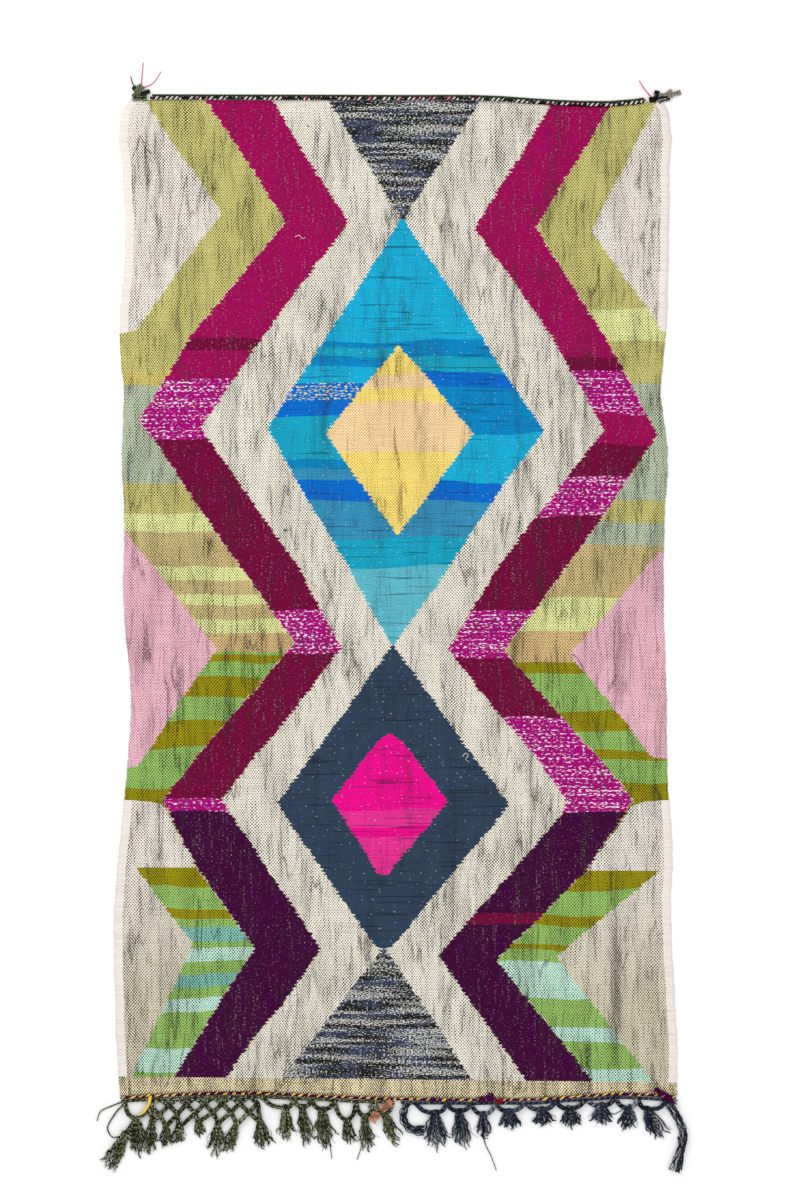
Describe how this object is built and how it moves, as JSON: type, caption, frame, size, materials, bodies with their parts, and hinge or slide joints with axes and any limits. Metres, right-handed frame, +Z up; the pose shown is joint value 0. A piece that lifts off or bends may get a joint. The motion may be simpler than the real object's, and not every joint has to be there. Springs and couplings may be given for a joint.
{
  "type": "flat-woven rag rug with a knotted fringe",
  "caption": "Flat-woven rag rug laid flat, with stacked lozenges and zigzag bands, a twined heading and a knotted net fringe.",
  "frame": {"origin": "middle of the footprint of the whole rug, fringe and yarn ends included, on the floor", "axes": "+Y along the rug's length towards the twined heading, +X across it to the right, +Z up from the floor"},
  "size_m": [1.4428, 2.7164, 0.0179],
  "materials": {
    "woven_cloth": "matt tapestry weave of wool and cotton rags in many colours",
    "black_white_yarn": "matt twisted yarn, black with white flecks",
    "green_yarn": "matt dark green twisted yarn",
    "yellow_purple_yarn": "matt yellow yarn crossed by purple yarn",
    "olive_yarn": "matt dark olive yarn with grey strands",
    "navy_yarn": "matt navy and charcoal yarn with grey strands",
    "brown_rag": "matt brown cotton rag"
  },
  "bodies": {
    "root": {"rug_field": "woven_cloth", "heading_twining": "black_white_yarn", "heading_cord": "green_yarn", "end_stitches": "yellow_purple_yarn", "fringe_olive": "olive_yarn", "fringe_navy": "navy_yarn", "corner_left": "green_yarn", "corner_right": "black_white_yarn", "rag_scrap": "brown_rag"}
  },
  "joints": []
}
